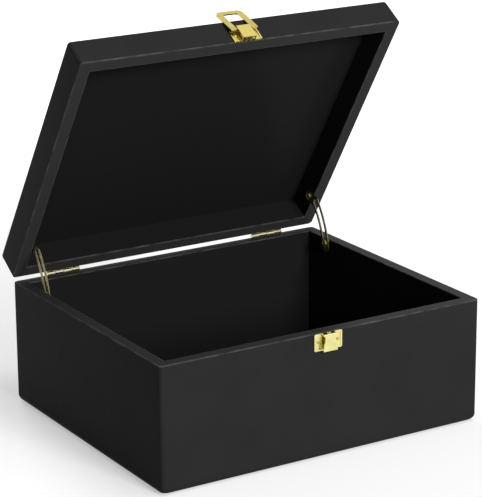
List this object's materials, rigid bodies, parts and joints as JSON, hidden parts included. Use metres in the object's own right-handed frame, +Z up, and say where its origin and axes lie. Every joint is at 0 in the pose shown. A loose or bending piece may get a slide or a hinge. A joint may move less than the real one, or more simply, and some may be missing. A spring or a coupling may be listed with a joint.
{
  "type": "photo storage box",
  "caption": "Painted wooden box with a hinged lid for photographs and keepsakes, held open by curved slotted stays and shut by a snap hasp.",
  "frame": {"origin": "middle of the underside of the base, on the surface that the box stands on", "axes": "+X to the right along the front, +Y from the front to the hinges, +Z up; the lid is open at rest"},
  "size_m": [0.3, 0.275, 0.3358],
  "materials": {
    "painted_wood": "black satin lacquer over smooth board",
    "gold_plate": "bright yellow plate on stamped sheet",
    "gold_screws": "yellow plate on steel screws and pins"
  },
  "bodies": {
    "base": {"base_front_wall": "painted_wood", "base_back_wall": "painted_wood", "base_left_wall": "painted_wood", "base_right_wall": "painted_wood", "base_bottom_panel": "painted_wood", "hinge_left_base_leaf": "gold_plate", "hinge_right_base_leaf": "gold_plate", "hinge_left_pin": "gold_screws", "hinge_right_pin": "gold_screws", "hinge_base_screws": "gold_screws", "catch_plate": "gold_plate", "catch_pins": "gold_screws", "stay_left_bush": "gold_plate", "stay_right_bush": "gold_plate", "stay_left_base_screw": "gold_screws", "stay_right_base_screw": "gold_screws"},
    "lid": {"lid_front_rail": "painted_wood", "lid_back_rail": "painted_wood", "lid_left_rail": "painted_wood", "lid_right_rail": "painted_wood", "lid_top_panel": "painted_wood", "hinge_left_lid_leaf": "gold_plate", "hinge_right_lid_leaf": "gold_plate", "hinge_lid_screws": "gold_screws", "latch_plate": "gold_plate", "latch_pins": "gold_screws", "stay_left_lid_screw": "gold_screws", "stay_right_lid_screw": "gold_screws"},
    "stay_left": {"stay_left": "gold_plate"},
    "stay_right": {"stay_right": "gold_plate"},
    "latch_loop": {"latch_loop": "gold_plate"}
  },
  "joints": [
    {"name": "lid_hinge", "type": "hinge", "parent": "base", "child": "lid", "pos_m": [0, 0.1262, 0.1063], "axis": [1, 0, 0], "range_deg": [0, 57.3]},
    {"name": "stay_left_pivot", "type": "hinge", "parent": "lid", "child": "stay_left", "pos_m": [-0.1377, 0.11072, 0.13985], "axis": [1, 0, 0], "range_deg": [-17.2, 0]},
    {"name": "stay_right_pivot", "type": "hinge", "parent": "lid", "child": "stay_right", "pos_m": [0.1377, 0.11072, 0.13985], "axis": [1, 0, 0], "range_deg": [-17.2, 0]},
    {"name": "latch_loop_pivot", "type": "hinge", "parent": "lid", "child": "latch_loop", "pos_m": [0.0013, -0.00139, 0.3267], "axis": [1, 0, 0], "range_deg": [0, 198.07]}
  ],
  "couplings": [
    {"joint": "stay_left_pivot", "follows": "lid_hinge", "ratio": -0.3},
    {"joint": "stay_right_pivot", "follows": "lid_hinge", "ratio": -0.3}
  ]
}
